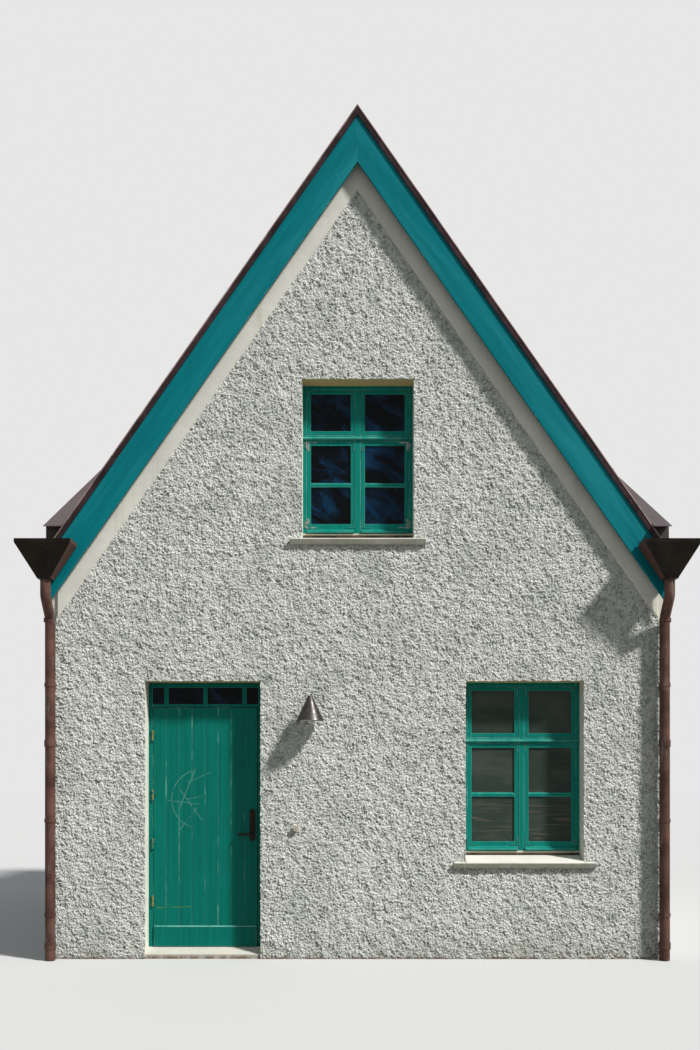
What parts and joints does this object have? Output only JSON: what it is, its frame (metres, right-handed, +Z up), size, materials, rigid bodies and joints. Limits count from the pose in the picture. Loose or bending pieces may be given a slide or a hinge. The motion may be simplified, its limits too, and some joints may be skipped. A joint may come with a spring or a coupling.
{
  "type": "stucco gabled house",
  "caption": "Narrow stuccoed gabled house from a row, with a steep metal roof, plain party walls and a plank door that opens.",
  "frame": {"origin": "on the ground under the middle of the house", "axes": "+Z up, -Y out of the street front, +X to the right as seen from the street"},
  "size_m": [5.48, 5.654, 6.9909],
  "materials": {
    "stucco": "roughcast render, weathered off-white",
    "party_plaster": "plain smooth render on the party walls",
    "smooth_plaster": "smooth cream render",
    "floor_concrete": "plain concrete screed",
    "floor_boards": "plain boards",
    "roof_boarding": "sawn boarding",
    "roof_metal": "weathered dark brown copper sheet",
    "rain_metal": "weathered dark brown copper",
    "green_paint": "worn blue-green gloss paint on timber",
    "window_glass": "clear float glass",
    "sill_stone": "smooth rendered sill",
    "handle_bronze": "dark weathered bronze",
    "hinge_brass": "brass under worn paint",
    "lamp_metal": "dark brushed metal",
    "bell_plastic": "aged white plastic"
  },
  "bodies": {
    "house": {"ground_floor": "floor_concrete", "upper_floor": "floor_boards", "front_wall_left": "smooth_plaster", "front_wall_right": "smooth_plaster", "front_gable": "smooth_plaster", "rear_wall": "smooth_plaster", "rear_gable": "smooth_plaster", "party_wall_right": "party_plaster", "party_wall_left": "party_plaster", "roof_deck_right": "roof_boarding", "roof_deck_left": "roof_boarding", "saddle_decks": "roof_boarding", "roof_sheet_right": "roof_metal", "roof_sheet_left": "roof_metal", "saddle_sheets": "roof_metal", "ridge_cap": "roof_metal", "verge_trims": "roof_metal", "bargeboards_right": "green_paint", "bargeboards_left": "green_paint", "rake_bands": "smooth_plaster", "roughcast_coat": "stucco", "hoppers_front": "rain_metal", "hoppers_rear": "rain_metal", "downpipes": "rain_metal", "pipe_clips": "rain_metal", "upper_window_frame": "green_paint", "upper_window_sashes": "green_paint", "upper_window_glass": "window_glass", "lower_window_frame": "green_paint", "lower_window_sashes": "green_paint", "lower_window_glass": "window_glass", "rear_windows": "green_paint", "rear_window_glass": "window_glass", "window_sills": "sill_stone", "threshold": "sill_stone", "door_frame": "green_paint", "transom_glass": "window_glass", "hinge_frame_halves": "hinge_brass", "lamp_shade": "lamp_metal", "lamp_arm": "lamp_metal", "bell_push": "bell_plastic"},
    "door": {"door_leaf": "green_paint", "kickboard": "green_paint", "handle_plate": "handle_bronze", "hinge_door_halves": "hinge_brass"},
    "lever": {"door_lever": "handle_bronze"}
  },
  "joints": [
    {"name": "door_hinge", "type": "hinge", "parent": "house", "child": "door", "pos_m": [-1.7185, -2.349, 1.08], "axis": [0, 0, -1], "range_deg": [0, 90]},
    {"name": "lever_turn", "type": "hinge", "parent": "door", "child": "lever", "pos_m": [-0.881, -2.37, 1.022], "axis": [0, -1, 0], "range_deg": [0, 40], "stiffness_Nm_per_rad": 1.2, "springref_deg": -20.05}
  ]
}
